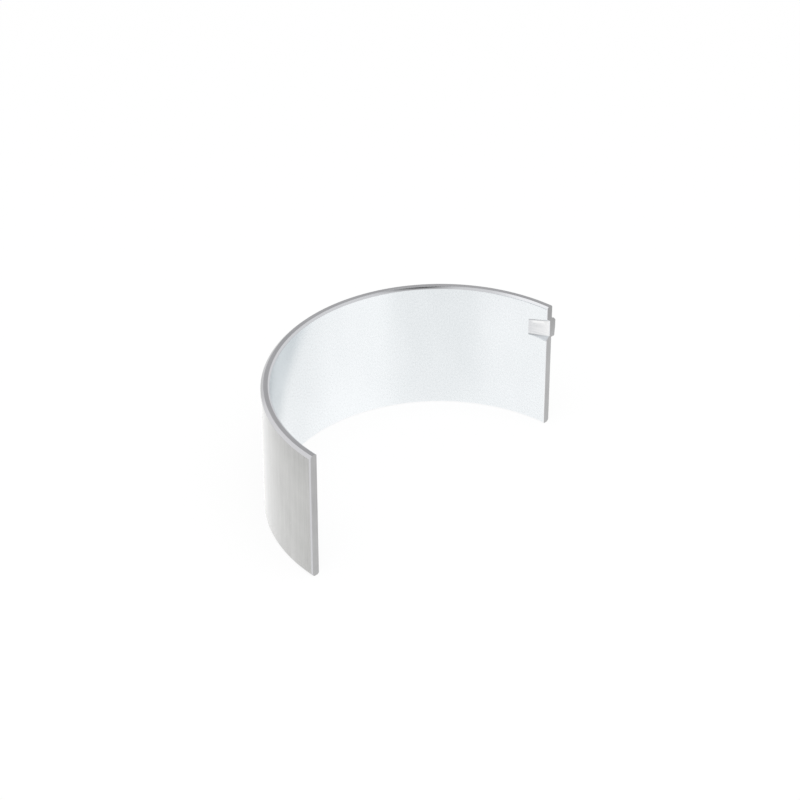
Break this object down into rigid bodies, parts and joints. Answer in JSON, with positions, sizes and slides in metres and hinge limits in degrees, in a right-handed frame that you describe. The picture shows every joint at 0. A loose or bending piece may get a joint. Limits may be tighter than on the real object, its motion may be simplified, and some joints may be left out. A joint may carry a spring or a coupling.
{
  "type": "engine bearing shell",
  "caption": "Thin half shell of a plain engine bearing, bent from lined steel strip, with chamfered edges and a locating tang at a joint face.",
  "frame": {"origin": "on the bore axis, at the middle of the shell's width", "axes": "+Z along the bore axis, towards the side edge nearer the tang; +Y to the crown of the arc; +X to the joint face with the tang"},
  "size_m": [0.0764, 0.0359, 0.0306],
  "materials": {
    "shell": "satin"
  },
  "bodies": {
    "root": {"bearing_shell": "shell"}
  },
  "joints": []
}
